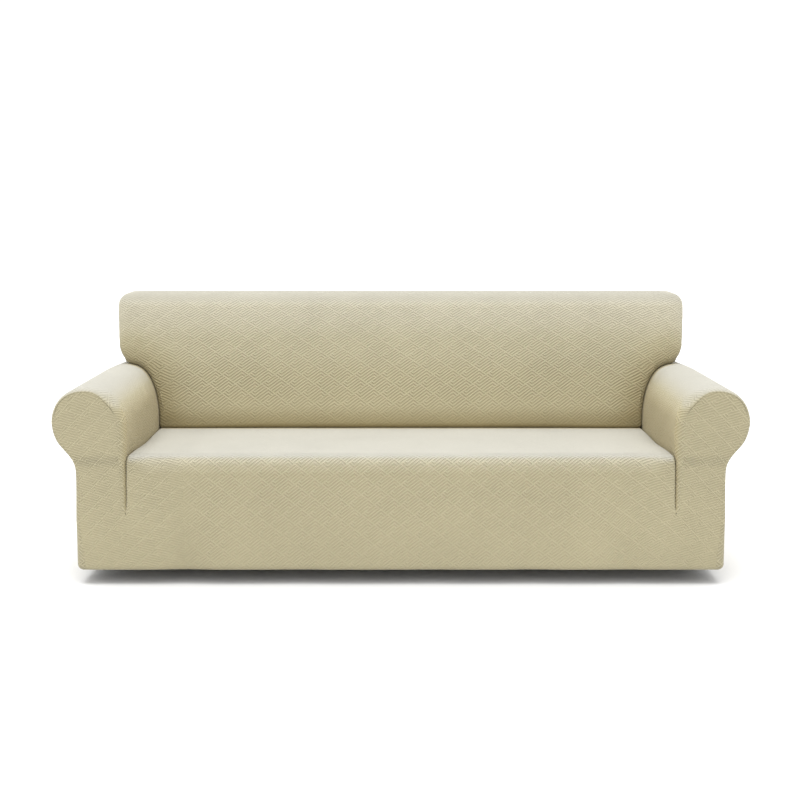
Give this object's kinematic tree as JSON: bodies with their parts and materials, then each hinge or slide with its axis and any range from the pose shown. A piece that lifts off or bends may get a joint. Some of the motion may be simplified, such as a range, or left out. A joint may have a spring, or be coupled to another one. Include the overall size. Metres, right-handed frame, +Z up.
{
  "type": "sofa slipcover",
  "caption": "Fitted stretch slipcover for a long sofa with rolled arms, a cream knit with a raised key-fret lattice, open underneath.",
  "frame": {"origin": "on the cloth's inner face under the middle of the back's top, where the sofa carries the cover", "axes": "+X along the sofa, to the right as seen from its front; +Y from the front to the back; +Z up"},
  "size_m": [2.2, 0.87, 0.84],
  "materials": {
    "cover_knit": "matt cream stretch knit with a small raised key-fret lattice and a soft sheen"
  },
  "bodies": {
    "root": {"front_panel": "cover_knit", "arm_panel_right": "cover_knit", "arm_panel_left": "cover_knit", "back_panel": "cover_knit", "outside_back_panel": "cover_knit"}
  },
  "joints": []
}
